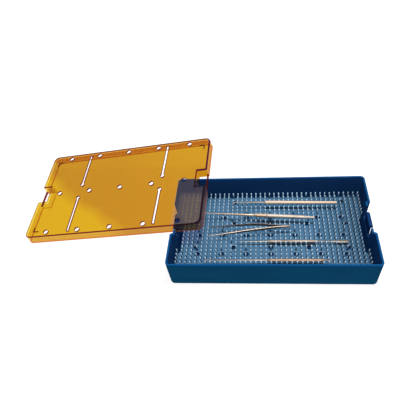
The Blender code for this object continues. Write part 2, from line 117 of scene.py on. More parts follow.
# Instruments: a profile is (distance from the left end, radius) stations, and END is the right end
END = math.inf
END_REACH, TURNED_SIDES, WIRE_SIDES, EASINGS = 0.45, 28, 16, 2
HOOK_HANDLE = [(0, 1.6), (0.35, 2.05), (0.9, 2.4), (3.0, 2.4), (3.4, 2.2), (3.9, 2.2), (4.3, 2.4),
               (46.0, 2.2), (90.5, 1.8), (91.0, 1.62), (91.6, 1.62), (92.0, 1.78), (95.2, 1.72),
               (96.0, 1.5), (END, 0.9)]
PROBE_POINT = [(0, 0.3), (1.0, 0.42), (32.0, 0.88), (60.0, 1.4), (70.0, 1.6), (70.4, 1.45), (71.0, 1.45),
               (71.4, 1.65), (END, 1.65)]
PROBE_COLLAR = [(0, 1.9), (0.3, 2.3), (0.8, 2.55), (14.0, 2.55), (14.5, 2.3), (END, 1.9)]
PROBE_HANDLE = [(0, 2.0), (0.4, 2.42), (1.0, 2.48), (30.0, 2.3), (37.0, 2.25), (37.4, 2.05), (38.0, 2.05),
                (38.4, 2.22), (44.0, 2.18), (48.6, 2.1), (49.4, 1.9), (END, 1.6)]
PROBE_CAP = [(0, 1.6), (1.0, 1.75), (2.8, 1.45), (3.4, 1.3), (10.6, 1.42), (11.3, 1.3), (END, 0.8)]
SPATULA_STEM = [(0, 0.25), (0.6, 0.42), (12.0, 0.72), (28.0, 1.0), (END, 1.15)]
SPATULA_HANDLE = [(0, 1.3), (2.0, 1.45), (6.5, 1.9), (9.0, 2.08), (22.0, 2.08), (22.3, 1.9), (22.8, 1.9),
                  (23.1, 2.08), (44.0, 2.08), (58.0, 2.05), (62.0, 1.8), (66.0, 1.4), (END, 1.2)]
SPATULA_TIP = [(0, 1.0), (1.5, 0.8), (10.0, 0.72), (17.0, 0.78), (20.0, 1.25), (23.0, 1.85), (26.0, 2.05),
               (32.0, 2.08), (35.0, 1.95), (36.8, 1.5), (37.5, 0.95), (END, 0.4)]
SPOON_FROM, SPOON_RUN, SPOON_FLAT = 15.0, 9.0, 0.62
CURETTE_HANDLE = [(0, 1.3), (0.6, 1.6), (3.0, 2.1), (5.0, 2.25), (35.0, 2.27), (66.0, 2.2), (68.0, 1.95),
                  (69.4, 1.65), (END, 1.4)]
CURETTE_CAP = [(0, 1.05), (0.6, 1.15), (1.6, 0.95), (2.0, 0.85), (7.6, 0.92), (8.4, 0.8), (END, 0.4)]
KNURL_DEPTH, KNURL_PITCH, KNURL_TEETH = 0.16, 0.75, 20
COLLAR_KNURL, CURETTE_KNURL = (1.2, 13.6), (6.0, 62.0)
ARM_ROUND = 0.7
HEEL_TAPER, HEEL_NECK_Y, HEEL_END_Y = 4.0, 0.88, 0.35
HEEL_BEVEL, HEEL_TOP_X, HEEL_TOP_Y = 0.3, 23 / 24, 0.82

# Blue plastic: dark and light flow marks and a band under the rim painted lighter, on the outside, and the
# same for the inside, painted darker as painted shade
OUTSIDE_BLUES = (0.0036, 0.051, 0.116), (0.0046, 0.059, 0.133), (0.0036, 0.055, 0.160)
SHADED_INSIDE_BLUES = (0.0047, 0.0245, 0.084), (0.0062, 0.030, 0.097), (0.0050, 0.031, 0.113)
# Height of the band under the rim that is painted lighter, a painted highlight
RIM_HIGHLIGHT_H = 6.0

# Silicone, with painted light: the sheet darker as painted shade between the fingers, the fingers lighter up
# their length and brightest at the tips as painted light and highlight
# The third colour on the next line is painted shade, nearly black, for the sheet below its top face
SHEET_DARK, SHEET_LIGHT, DRAIN_SHADE = (0.031, 0.092, 0.166), (0.044, 0.114, 0.194), (0.003, 0.008, 0.020)
PIN_LIT, PIN_LIT_FROM, PIN_LIT_TO = (0.40, 0.62, 0.84), 0.42, 0.85
PIN_HIGHLIGHT, PIN_HIGHLIGHT_H = (0.50, 0.70, 0.86), 1.8
# Painted shade where the light falls off towards the mat's ends: its colour, and how it grows along x and
# beyond an ellipse
FALLOFF_SHADE, SHADE_END, SHADE_ROUND = (0.008, 0.024, 0.048), (0.060, 0.125, 0.0, 0.5), (1.0, 1.5, 0.0, 0.6)
OVAL = (8.3, 14.3, 0.0)

# Clear amber plastic
PLASTIC_INDEX, MIRROR_SHARE, MOST_MIRROR = 1.49, 0.45, 0.05
# The tint's deep and light ends on the plate and on the skirt; the light end is painted light
AMBER, AMBER_LIGHT = (0.711, 0.487, 0.105), (0.802, 0.615, 0.093)
SKIRT_AMBER, SKIRT_LIGHT = (0.69, 0.45, 0.07), (0.76, 0.54, 0.06)
LID_SHADE, WAY_OUT = (0.95, 0.87, 0.95), (0.995, 0.985, 0.99)
BACK_BAND, BACK_BAND_Y, BAND_BLUR = (0.91, 0.71, 0.60), 64.6, 0.3
# Where the tint is lighter, as painted light of the lit floor seen through the lid: across the front left,
# and in part at the back right
FRONT_SLANT, FRONT_FROM, FRONT_TO, FRONT_WAVE = 1.22, 0.070, 0.098, 0.012
RIGHT_SHARE, RIGHT_X, RIGHT_Y = 0.30, (0.0, 0.10), (-0.03, 0.06)
# A painted reflection: a greyish sheen at the lid's front right, its faint and strong colours for the plate
# and the skirt, and where it lies
PLATE_SHEEN = (0.16, 0.24, 0.69), (0.50, 0.52, 0.88)
SKIRT_SHEEN = (0.15, 0.13, 0.30), (0.30, 0.22, 0.40)
SHEEN_SLANT, SHEEN_X, SHEEN_Y = 0.133, (0.0860, 0.0885), (0.0150, 0.0125)
STRONG_SHEEN_X, STRONG_SHEEN_Y = (0.091, 0.096), (-0.008, -0.016)

# Studio
SWEEP_HALF, SWEEP_Z, SWEEP_GLOW = 4000, -0.3, 0.93
SKY, LAMP_POWER = 0.30, 12.6
LIGHT_AT, LIGHT_SIZE = (60, -60, 900), 90
GLEAM_AT, GLEAM_SIZE = (60, -200, 900), 200
WHITE = (1.0, 1.0, 1.0, 1.0)

# Photograph's viewpoint
CAMERA_AT = (-11.05, -413.2, 484.4)
CAMERA_TURN = (44.346, 5.096, 4.057)
CAMERA_LENS, CAMERA_SENSOR = 40.953, 36.0


# ---------------------------------------------------------------- materials

class Graph:
    """A material's node tree, built by naming each node's inputs."""

    def __init__(self, name):
        self.material = bpy.data.materials.new(name)
        self.material.use_nodes = True
        self.tree = self.material.node_tree
        self.tree.nodes.clear()

    def add(self, kind, inputs=None, output=0, **settings):
        """Adds a node, links or sets its inputs, and returns one of its outputs."""
        made = self.tree.nodes.new("ShaderNode" + kind)
        for key, value in settings.items():
            setattr(made, key, value)
        for key, value in (inputs or {}).items():
            if isinstance(value, bpy.types.NodeSocket):
                self.tree.links.new(value, made.inputs[key])
            else:
                made.inputs[key].default_value = value
        return made.outputs[output]

    def place(self, scale=(1.0, 1.0, 1.0)):
        """Object coordinates, stretched by scale."""
        spot = self.add("TexCoord", output="Object")
        return self.add("Mapping", {"Vector": spot, "Scale": scale})

    def place_axis(self, axis):
        """One of the object coordinates: X, Y or Z."""
        return self.add("SeparateXYZ", {"Vector": self.place()}, output=axis)

    def noise(self, scale, detail=3.0, stretch=(1.0, 1.0, 1.0)):
        return self.add("TexNoise", {"Vector": self.place(stretch), "Scale": scale, "Detail": detail},
                        output="Fac")

    def patches(self, scale, detail=3.0, to_low=0.0, to_high=1.0):
        """Noise with its contrast raised, between two values."""
        return self.remap(self.noise(scale, detail), 0.3, 0.7, to_low, to_high)

    def remap(self, value, low, high, to_low=0.0, to_high=1.0):
        """Value scaled so that low and high come out as to_low and to_high, and held between them."""
        return self.add("MapRange", {"Value": value, "From Min": low, "From Max": high,
                                     "To Min": to_low, "To Max": to_high})

    def math(self, operation, a, b):
        return self.add("Math", {0: a, 1: b}, operation=operation)

    def mix(self, factor, a, b):
        """A colour between a and b. The node's sockets share their names, so they go by number."""
        made = self.tree.nodes.new("ShaderNodeMix")
        made.data_type = "RGBA"
        for socket, value in zip((made.inputs[0], made.inputs[6], made.inputs[7]), (factor, a, b)):
            if isinstance(value, bpy.types.NodeSocket):
                self.tree.links.new(value, socket)
            else:
                socket.default_value = value
        return made.outputs[2]

    def bump(self, height, strength, distance):
        return self.add("Bump", {"Height": height, "Strength": strength, "Distance": distance})

    def finish(self, shader):
        """Makes shader the material's surface and returns the material."""
        out = self.tree.nodes.new("ShaderNodeOutputMaterial")
        self.tree.links.new(shader, out.inputs["Surface"])
        return self.material


def rgb(r, g, b):
    """An opaque colour, as a node takes it."""
    return (r, g, b, 1.0)


def blue_plastic(name, dark, light, lip):
    """Moulded polymer: matt, with faint flow marks and a fine grain, and painted lighter near the rim as a
    painted highlight.
    """
    g = Graph(name)
    flow = g.remap(g.noise(14.0, 4.0, (1.0, 1.0, 2.5)), 0.35, 0.65)
    body = g.mix(flow, rgb(*dark), rgb(*light))
    # Painted highlight: lighter towards the rim
    rim_lit = g.remap(g.place_axis("Z"), (BASE_H - RIM_HIGHLIGHT_H) * MM, BASE_H * MM)
    shader = g.add("BsdfPrincipled", {
        "Base Color": g.mix(rim_lit, body, rgb(*lip)), "Roughness": g.patches(60.0, 3.0, 0.42, 0.55),
        "Specular IOR Level": 0.0, "Normal": g.bump(g.noise(1600.0, 2.0), 0.12, 0.0002)})
    return g.finish(shader)


def silicone():
    """Soft light-blue silicone with painted light: a sheet painted darker as shade between the fingers,
    fingers painted lighter to their tips, and painted shade towards the ends.

    From its upper edge down, the sheet is painted nearly black, as painted shade down the drains and along
    its sides.
    """
    g = Graph("silicone")
    height = g.place_axis("Z")
    sheet, pin = MAT_Z1 * MM, PIN_H * MM
    colour = g.mix(g.patches(35.0, 4.0), rgb(*SHEET_DARK), rgb(*SHEET_LIGHT))
    # Painted light: the fingers turn lighter up their length
    pale = g.remap(height, sheet + pin * PIN_LIT_FROM, sheet + pin * PIN_LIT_TO)
    colour = g.mix(pale, colour, rgb(*PIN_LIT))
    # Painted highlight on the fingers' tips
    top = g.remap(height, sheet + pin - PIN_HIGHLIGHT_H * MM, sheet + pin)
    colour = g.mix(top, colour, rgb(*PIN_HIGHLIGHT))
    # Painted shade towards the mat's ends
    colour = g.mix(painted_falloff(g), colour, rgb(*FALLOFF_SHADE))
    # Painted shade: nearly black below the sheet's top face, down the drains
    above_drain_shade = g.remap(height, sheet - MAT_EDGE * MM, sheet)
    colour = g.mix(above_drain_shade, rgb(*DRAIN_SHADE), colour)
    shader = g.add("BsdfPrincipled", {
        "Base Color": colour, "Roughness": g.patches(120.0, 2.0, 0.36, 0.50), "Specular IOR Level": 0.35,
        "Normal": g.bump(g.noise(900.0, 2.0), 0.15, 0.0002)})
    return g.finish(shader)


def painted_falloff(g):
    """How much painted shade the mat takes, as light falling off: more towards its right end and beyond an
    ellipse that nearly fills the tray.
    """
    reach = g.add("VectorMath", {0: g.place(OVAL)}, output="Value", operation="LENGTH")
    return g.math("MAXIMUM", g.remap(g.place_axis("X"), *SHADE_END), g.remap(reach, *SHADE_ROUND))


def turned_metal(name, dark, light, roughness, metallic=0.6):
    """Turned alloy: fine rings round the bar, a slow change of tone and a few duller patches."""
    g = Graph(name)
    rings = g.noise(2600.0, 2.0, (1.0, 0.05, 0.05))
    patch = g.patches(45.0, 3.0)
    rough = g.remap(g.math("ADD", rings, patch), 0.4, 1.6, roughness - 0.06, roughness + 0.10)
    shader = g.add("BsdfPrincipled", {
        "Base Color": g.mix(patch, rgb(*dark), rgb(*light)), "Metallic": metallic, "Roughness": rough,
        "Normal": g.bump(rings, 0.10, 0.00003)})
    return g.finish(shader)


def clear_amber(name, deep, bright, veil, painted_sheen=0.0, skirt_side=None, band=False):
    """Clear tinted plastic that mirrors a little. A ray takes the tint at each face that it passes.

    The tint is painted light: lighter where lit floor shows through the lid and deeper over the shadow
    beneath. veil is the share of solid haze, and the next argument that of a greyish painted sheen, a painted
    reflection, at the lid's front right. skirt_side says whether this is the outer or the inner face of the
    skirt, which takes WAY_OUT's faint tint instead on a ray that leaves the lid. band deepens the strip along
    the back edge.
    """
    g = Graph(name)
    x, y = g.place_axis("X"), g.place_axis("Y")
    tint = amber_tint_painted_light(g, x, y, deep, bright, band)
    away = g.add("NewGeometry", output="Backfacing")
    seen = tint
    if skirt_side:
        leaves = away if skirt_side == "outer" else g.math("SUBTRACT", 1.0, away)
        seen = g.mix(leaves, tint, rgb(*WAY_OUT))
    shade_ray = g.add("LightPath", output="Is Shadow Ray")
    passed = g.add("BsdfTransparent", {"Color": g.mix(shade_ray, seen, rgb(*LID_SHADE))})
    haze = g.add("BsdfDiffuse", {"Color": tint, "Roughness": 0.4})
    body = g.add("MixShader", {0: veil, 1: passed, 2: haze})
    # Painted reflection: a greyish sheen at the lid's front right
    if painted_sheen:
        body = with_painted_sheen(g, x, y, body, painted_sheen, SKIRT_SHEEN if skirt_side else PLATE_SHEEN)
    shine = g.add("BsdfGlossy", {"Color": WHITE, "Roughness": g.patches(80.0, 3.0, 0.04, 0.09),
                                 "Normal": g.bump(g.noise(25.0, 2.0), 0.03, 0.001)})
    # A ray isn't bent here, so the far face of the wall takes the inverse index, or it would be a mirror.
    index = g.remap(away, 0.0, 1.0, PLASTIC_INDEX, 1 / PLASTIC_INDEX)
    mirror = g.math("MULTIPLY", g.add("Fresnel", {"IOR": index}), MIRROR_SHARE)
    return g.finish(g.add("MixShader", {0: g.math("MINIMUM", mirror, MOST_MIRROR), 1: body, 2: shine}))


def amber_tint_painted_light(g, x, y, deep, bright, band):
    """The tint at a place, with painted light: bright at the front left and part bright at the back right,
    for lit floor seen through the lid, and deep between, a painted shadow.
    """
    # Painted light and shadow: lighter where lit floor shows through, deeper over the shadow beneath
    slope = g.math("ADD", g.math("MULTIPLY", x, -1.0), g.math("MULTIPLY", y, -FRONT_SLANT))
    slope = g.math("ADD", slope, g.patches(9.0, 2.0, -FRONT_WAVE, FRONT_WAVE))
    front = g.remap(slope, FRONT_FROM, FRONT_TO)
    right = g.math("MULTIPLY", g.remap(x, *RIGHT_X), g.remap(y, *RIGHT_Y))
    tone = g.math("MAXIMUM", front, g.math("MULTIPLY", right, RIGHT_SHARE))
    tint = g.mix(tone, rgb(*deep), rgb(*bright))
    if not band:
        return tint
    at_back = g.remap(y, (BACK_BAND_Y - BAND_BLUR) * MM, (BACK_BAND_Y + BAND_BLUR) * MM)
    return g.mix(at_back, tint, rgb(*(a * b for a, b in zip(deep, BACK_BAND))))


def with_painted_sheen(g, x, y, body, painted_sheen, sheen_colours):
    """Body under a greyish painted sheen, a painted reflection, at the lid's front right. The colours given
    are its faint and its strong one.
    """
    slanted = g.math("ADD", y, g.math("MULTIPLY", x, SHEEN_SLANT))
    sheen_mask = g.math("MULTIPLY", g.remap(x, *SHEEN_X), g.remap(slanted, *SHEEN_Y))
    strong_sheen = g.math("MULTIPLY", g.remap(x, *STRONG_SHEEN_X), g.remap(slanted, *STRONG_SHEEN_Y))
    layer = g.add("BsdfDiffuse", {"Color": g.mix(strong_sheen, rgb(*sheen_colours[0]), rgb(*sheen_colours[1]))})
    return g.add("MixShader", {0: g.math("MULTIPLY", sheen_mask, painted_sheen), 1: body, 2: layer})


def floor_material():
    """A bright sweep: mostly its own light, so that the object leaves only a trace of shade on it."""
    g = Graph("studio_sweep")
    tone = g.patches(3.0, 3.0, 0.18, 0.22)
    colour = g.add("CombineColor", {0: tone, 1: tone, 2: tone})
    shader = g.add("BsdfPrincipled", {
        "Base Color": colour, "Roughness": 0.9, "Specular IOR Level": 0.0,
        "Emission Color": WHITE, "Emission Strength": SWEEP_GLOW})
    return g.finish(shader)


# ---------------------------------------------------------------- geometry

def circle(x, y, radius, count):
    step = 2 * math.pi / count
    return [(x + radius * math.cos(i * step), y + radius * math.sin(i * step)) for i in range(count)]


def at_height(polygon, z):
    return [(x, y, z) for x, y in polygon]


def rounded(corners, steps):
    """A polygon whose (x, y, radius) corners are replaced by arcs of steps + 1 points each."""
    outline = []
    for k, (x, y, radius) in enumerate(corners):
        here = Vector((x, y))
        back = (Vector(corners[k - 1][:2]) - here).normalized()
        ahead = (Vector(corners[(k + 1) % len(corners)][:2]) - here).normalized()
        half = math.acos(max(-1.0, min(1.0, back.dot(ahead)))) / 2
        centre = here + (back + ahead).normalized() * (radius / math.sin(half))
        start = here + back * (radius / math.tan(half)) - centre
        end = here + ahead * (radius / math.tan(half)) - centre
        outline += [tuple(centre + start.slerp(end, i / steps) * radius) for i in range(steps + 1)]
    return outline


def notched(half_x, half_y, radius, notch_x, notch_half, mouth_half, fillet, steps=8):
    """A rounded rectangle, anticlockwise, with the middle of each short side set back to notch_x."""
    right = [(notch_x, -notch_half, fillet), (notch_x, notch_half, fillet), (half_x, mouth_half, fillet),
             (half_x, half_y, radius)]
    left = [(-half_x, half_y, radius), (-half_x, mouth_half, fillet), (-notch_x, notch_half, fillet),
            (-notch_x, -notch_half, fillet), (-half_x, -mouth_half, fillet), (-half_x, -half_y, radius)]
    return rounded(right + left + [(half_x, -half_y, radius), (half_x, -mouth_half, fillet)], steps)


def inside(x, y, polygon):
    """Whether the point lies in the polygon."""
    hit = False
    for (x0, y0), (x1, y1) in zip(polygon, polygon[1:] + polygon[:1]):
        if (y0 > y) != (y1 > y) and x < (x1 - x0) * (y - y0) / (y1 - y0) + x0:
            hit = not hit
    return hit


def flat_fill(outer, holes):
    """Triangles that cover the outer polygon and leave the holes open, as indices into outer + holes."""
    points, edges, owner = [], [], []
    for number, polygon in enumerate([outer] + holes):
        start = len(points)
        points += [Vector(p[:2]) for p in polygon]
        owner += [number] * len(polygon)
        edges += [(start + i, start + (i + 1) % len(polygon)) for i in range(len(polygon))]
    _, _, faces, origins, _, _ = delaunay_2d_cdt(points, edges, [], 0, 1e-7)
    back = {new: old[0] for new, old in enumerate(origins) if old}
    triangles = []
    for face in faces:
        corners = [back[i] for i in face]
        x, y = (sum(points[c][axis] for c in corners) / 3 for axis in (0, 1))
        owners = {owner[c] for c in corners}
        if len(owners) == 1 and 0 not in owners:
            continue
        if inside(x, y, outer):
            triangles.append(tuple(corners))
    return triangles


class Body:
    """Collects the points, faces and material slots of one piece, in millimetres."""

    def __init__(self):
        self.points, self.faces, self.slots = [], [], []

    def ring(self, points):
        """Adds points and returns their numbers."""
        start = len(self.points)
        self.points += points
        return list(range(start, start + len(points)))

    def face(self, corners, slot=0):
        self.faces.append(tuple(corners))
        self.slots.append(slot)

    def loft(self, rings, slot=0):
        """Four-sided faces between each ring and the next."""
        for lower, upper in zip(rings, rings[1:]):
            count = len(lower)
            for i in range(count):
                j = (i + 1) % count
                self.face((lower[i], lower[j], upper[j], upper[i]), slot)

    def fill(self, outer, holes, slot=0):
        """A flat face within one ring that leaves the holes' rings open."""
        order = outer + [i for hole in holes for i in hole]
        flat = [[self.points[i][:2] for i in ring] for ring in [outer] + holes]
        for triangle in flat_fill(flat[0], flat[1:]):
            self.face([order[i] for i in triangle], slot)

    def box(self, x0, x1, y0, y1, z0, z1, slot=0):
        low = self.ring([(x0, y0, z0), (x1, y0, z0), (x1, y1, z0), (x0, y1, z0)])
        high = self.ring([(x0, y0, z1), (x1, y0, z1), (x1, y1, z1), (x0, y1, z1)])
        self.loft([low, high], slot)
        self.cap([low, high], slot)

    def recolour(self, old, new, where):
        """Moves the faces of one slot to another where their middle meets the test on (x, y)."""
        for i, face in enumerate(self.faces):
            middle = [sum(self.points[c][axis] for c in face) / len(face) for axis in (0, 1)]
            if self.slots[i] == old and where(*middle):
                self.slots[i] = new

    def cap(self, rings, slot=0):
        """Closes both ends of a loft."""
        self.face(rings[0], slot)
        self.face(rings[-1], slot)

    def build(self, name, materials, sharp=SHARP_PLASTIC):
        """Makes the piece's object. Edges that turn by more than sharp degrees stay sharp."""
        mesh = bpy.data.meshes.new(name)
        mesh.from_pydata([Vector(p) * MM for p in self.points], [], self.faces)
        mesh.polygons.foreach_set("material_index", self.slots)
        shape = bmesh.new()
        shape.from_mesh(mesh)
        bmesh.ops.recalc_face_normals(shape, faces=shape.faces)
        shape.to_mesh(mesh)
        shape.free()
        for material in materials:
            mesh.materials.append(material)
        shade(mesh, sharp)
        obj = bpy.data.objects.new(name, mesh)
        bpy.context.scene.collection.objects.link(obj)
        return obj


def shade(mesh, angle):
    mesh.shade_smooth()
    mesh.set_sharp_from_angle(angle=math.radians(angle))


def stands_for(obj, body, node):
    """Lets a piece ride on a body in place of a CAD node, which it hides."""
    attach(obj, body)
    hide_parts(node)
    return obj


# ---------------------------------------------------------------- base

def drafted(z):
    """How far the base's outer face stands in from the rim's outline at a height."""
    return DRAFT * (1 - z / BASE_H)


def base_ring(body, inset, radius, z):
    outline = notched(BASE_HALF_X - inset, BASE_HALF_Y - inset, radius, RECESS_FACE_X - inset,
                      RECESS_HALF + inset, RECESS_MOUTH_HALF + inset, RECESS_FILLET)
    return body.ring(at_height(outline, z))


def arc(inset, z, radius, turn_from, turn_to, steps=5):
    """(inset, z) stations round a quarter circle whose centre is at that inset and height."""
    stations = []
    for i in range(steps + 1):
        angle = math.radians(turn_from + (turn_to - turn_from) * i / steps)
        stations.append((inset - radius * math.cos(angle), z + radius * math.sin(angle)))
    return stations


def drain_places():
    """Where the mat's drain holes and the vents below them are."""
    places = [(i * STEP_A, y) for y in ROWS_A for i in range(-SIDE_A, SIDE_A + 1)]
    return places + [(i * STEP_B, y) for y in ROWS_B for i in range(-SIDE_B, SIDE_B + 1)]


# The second slot takes the copy of the blue plastic painted darker, as painted shade on the inner walls,
# floor, recesses and latch gaps
OUTSIDE, SHADED_INSIDE = 0, 1


def make_base(plastics):
    body = Body()
    outside = arc(drafted(FOOT_ROUND) + FOOT_ROUND, FOOT_ROUND, FOOT_ROUND, -90, 0)
    outside += arc(RIM_ROUND, BASE_H - RIM_ROUND, RIM_ROUND, 0, 90, 4)
    rim_inside = arc(WALL - RIM_ROUND, BASE_H - RIM_ROUND, RIM_ROUND, 90, 180, 4)
    floor_in = WALL + drafted(FLOOR)
    rings = [base_ring(body, inset, CORNER_OUT, z) for inset, z in outside]
    rings += [base_ring(body, inset, CORNER_RIM, z) for inset, z in rim_inside]
    body.loft(rings)
    rings.append(base_ring(body, floor_in, CORNER_IN, FLOOR + FLOOR_FILLET))
    rings.append(base_ring(body, floor_in + FLOOR_FILLET, CORNER_IN, FLOOR))
    body.loft(rings[-3:], SHADED_INSIDE)
    # The recesses take the darker inside copy, as painted shade
    near, far = RECESS_HALF - RECESS_SHADE, RECESS_MOUTH_HALF + RECESS_SHADE
    body.recolour(OUTSIDE, SHADED_INSIDE, lambda x, y: near < abs(y) < far)
    low, high = add_vents(body)
    body.fill(rings[0], low)
    body.fill(rings[-1], high, SHADED_INSIDE)
    base = body.build("tray_base", plastics)
    for side in (-1, 1):
        cut_latch_gap(base, side)
    shade(base.data, SHARP_PLASTIC)
    return stands_for(base, "tray", "base_shell")


def add_vents(body):
    """Drain holes through the floor, but for the middle one. Returns their rings below and above."""
    vents = [circle(x, y, VENT_R, VENT_SIDES) for x, y in drain_places() if (x, y) != (0.0, 0.0)]
    low = [body.ring(at_height(vent, 0)) for vent in vents]
    high = [body.ring(at_height(vent, FLOOR)) for vent in vents]
    for rings in zip(low, high):
        body.loft(rings)
    return low, high


def cut_latch_gap(base, side):
    """Takes the latch gap out of one end wall. Its lower corners are rounded."""
    profile = rounded([
        (-LATCH_GAP_HALF, LATCH_GAP_Z, LATCH_GAP_FILLET), (LATCH_GAP_HALF, LATCH_GAP_Z, LATCH_GAP_FILLET),
        (LATCH_GAP_HALF, GAP_CUTTER_TOP, GAP_CUTTER_CORNER),
        (-LATCH_GAP_HALF, GAP_CUTTER_TOP, GAP_CUTTER_CORNER)], 5)
    body = Body()
    ends = [body.ring([(side * x, y, z) for y, z in profile]) for x in GAP_CUTTER_X]
    body.loft(ends, SHADED_INSIDE)
    body.cap(ends, SHADED_INSIDE)
    cutter = body.build("gap_cutter", [])
    modifier = base.modifiers.new("Gap", "BOOLEAN")
    modifier.operation, modifier.solver, modifier.object = "DIFFERENCE", "EXACT", cutter
    apply_modifiers(base)
    bpy.data.objects.remove(cutter, do_unlink=True)


def apply_modifiers(obj):
    """Gives the object the mesh that its modifiers make, and removes them."""
    graph = bpy.context.evaluated_depsgraph_get()
    mesh = bpy.data.meshes.new_from_object(obj.evaluated_get(graph))
    obj.modifiers.clear()
    obj.data = mesh


def latch_outline():
    """The tongue's section as (x, z) points: rounded foot, outer face, hook, sloped top, inner face."""
    inner, outer, foot = HINGE_X - TONGUE_R, HINGE_X + TONGUE_R, HINGE_Z - TONGUE_R
    return rounded([
        (inner, foot, 1.0), (outer, foot, 1.0), (outer + 0.2, HOOK_Z - 0.8, 0.4), (outer + 0.6, HOOK_Z, 0.3),
        (HOOK_X, HOOK_Z, 0.2), (HOOK_X, HOOK_Z + 1.0, 0.3), (HOOK_X - 1.7, HOOK_TOP - 0.4, 0.3),
        (HOOK_X - 2.6, HOOK_TOP, 0.3), (HOOK_X - 4.5, HOOK_TOP, 0.2), (inner + 0.2, HOOK_TOP - 0.5, 0.2)], 3)


def make_latch(name, side, plastic):
    """A tongue with an outward hook. Its two ends are bevelled."""
    outline = latch_outline()
    middle_x, middle_z = (sum(p[axis] for p in outline) / len(outline) for axis in (0, 1))
    body = Body()
    rings = []
    for y, shrink in ((-TONGUE_HALF, TONGUE_BEVEL), (-TONGUE_HALF + TONGUE_BEVEL, 0.0),
                      (TONGUE_HALF - TONGUE_BEVEL, 0.0), (TONGUE_HALF, TONGUE_BEVEL)):
        ring = []
        for x, z in outline:
            keep = 1 - shrink / math.hypot(x - middle_x, z - middle_z)
            ring.append((side * (middle_x + (x - middle_x) * keep), y, middle_z + (z - middle_z) * keep))
        rings.append(body.ring(ring))
    body.loft(rings)
    body.cap(rings)
    latch = body.build("latch_tongue_" + name, [plastic])
    return stands_for(latch, name + "_latch", "latch_" + name)


# ---------------------------------------------------------------- mat

def finger_tops(node):
    """{(column, row): height of the tip} of the CAD mat's fingers, read off its mesh."""
    points = np.array([v.co for v in node.data.vertices]) / MM
    points = points[points[:, 2] > MAT_Z1 + HAIR]
    tops = {}
    for x, y, z in points:
        cell = (round(x / PITCH), round(y / PITCH))
        tops[cell] = max(tops.get(cell, 0.0), z)
    return tops


def finger_profile(height):
    """(height above the sheet, radius) stations of one finger: narrow foot, slight taper, domed tip."""
    tip = PIN_R + (PIN_TIP_R - PIN_R) * min(1.0, height / PIN_H)
    flare, dome = min(PIN_FLARE, height / 3), min(PIN_DOME, height / 3)
    return [(0.0, PIN_FOOT_R), (flare, PIN_R), (height - dome, tip), (height - dome / 3, tip * 0.75),
            (height, tip * 0.3)]


def add_finger(body, x, y, height):
    """One finger. Returns the ring of its foot."""
    rings = [body.ring(at_height(circle(x, y, radius, PIN_SIDES), MAT_Z1 + up))
             for up, radius in finger_profile(height)]
    body.loft(rings)
    body.face(rings[-1])
    return rings[0]


def mat_outline(inset):
    """The sheet's outline, set back in the middle of each short side."""
    x, y = MAT_HALF_X - inset, MAT_HALF_Y - inset
    notch_x, notch_y = (COLUMNS - 0.5) * PITCH - inset, (MAT_NOTCH_ROWS + 0.5) * PITCH + inset
    mouth_y = notch_y + MAT_NOTCH_STEP
    right = [(notch_x, -notch_y, MAT_CORNER), (notch_x, notch_y, MAT_CORNER), (x, mouth_y, MAT_NOTCH_CORNER),
             (x, y, MAT_CORNER)]
    left = [(-x, y, MAT_CORNER), (-x, mouth_y, MAT_NOTCH_CORNER), (-notch_x, notch_y, MAT_CORNER),
            (-notch_x, -notch_y, MAT_CORNER), (-x, -mouth_y, MAT_NOTCH_CORNER), (-x, -y, MAT_CORNER)]
    return rounded(right + left + [(x, -y, MAT_CORNER), (x, -mouth_y, MAT_NOTCH_CORNER)], 5)


def add_drains(body, tops):
    """Holes through the sheet, as wide as the fingers allow. Returns their rings below and above."""
    low, high = [], []
    for x, y in drain_places():
        nearest = min(math.hypot(x - column * PITCH, y - row * PITCH) for column, row in tops)
        wide = min(DRAIN_R, nearest - PIN_FOOT_R - DRAIN_CLEAR)
        narrow = wide - DRAIN_LIP
        rings = [body.ring(at_height(circle(x, y, radius, DRAIN_SIDES), z))
                 for radius, z in ((narrow, MAT_Z0), (narrow, MAT_Z1 - DRAIN_LIP), (wide, MAT_Z1))]
        body.loft(rings)
        low.append(rings[0])
        high.append(rings[-1])
    return low, high


def make_mat(rubber, node):
    body = Body()
    bevel = MAT_EDGE * MID_ARC
    edge = [body.ring(at_height(mat_outline(inset), z)) for inset, z in (
        (0.0, MAT_Z0), (0.0, MAT_Z1 - MAT_EDGE), (bevel, MAT_Z1 - bevel), (MAT_EDGE, MAT_Z1))]
    body.loft(edge)
    tops = finger_tops(node)
    low, high = add_drains(body, tops)
    feet = [add_finger(body, column * PITCH, row * PITCH, top - MAT_Z1)
            for (column, row), top in sorted(tops.items())]
    body.fill(edge[0], low)
    body.fill(edge[-1], high + feet)
    mat = body.build("finger_mat", [rubber], SHARP_RUBBER)
    return stands_for(mat, "tray", "silicone_mat")


# ---------------------------------------------------------------- lid

CLEAR, EDGE, LIP, SKIRT_OUT, SKIRT_IN, RIB, BAR, DEEP_EDGE = range(8)


def lid_ring(body, inset, radius, z):
    outline = notched(LID_HALF_X - inset, LID_HALF_Y - inset, radius, NOTCH_X - inset,
                      NOTCH_HALF + inset, NOTCH_HALF + inset, NOTCH_FILLET, 10)
    return body.ring(at_height(outline, z))


def slot_outline(x, sign):
    """A long slot with a round end towards the middle of the lid."""
    half = math.asin(SLOT_HALF / SLOT_END_R)
    ring = []
    for i in range(SLOT_END_STEPS + 1):
        angle = math.pi / 2 + half + (2 * math.pi - 2 * half) * i / SLOT_END_STEPS
        ring.append((x + SLOT_END_R * math.cos(angle), sign * (SLOT_Y0 + SLOT_END_R * math.sin(angle))))
    ring += [(x + SLOT_HALF, sign * SLOT_Y1), (x - SLOT_HALF, sign * SLOT_Y1)]
    return ring if sign > 0 else ring[::-1]


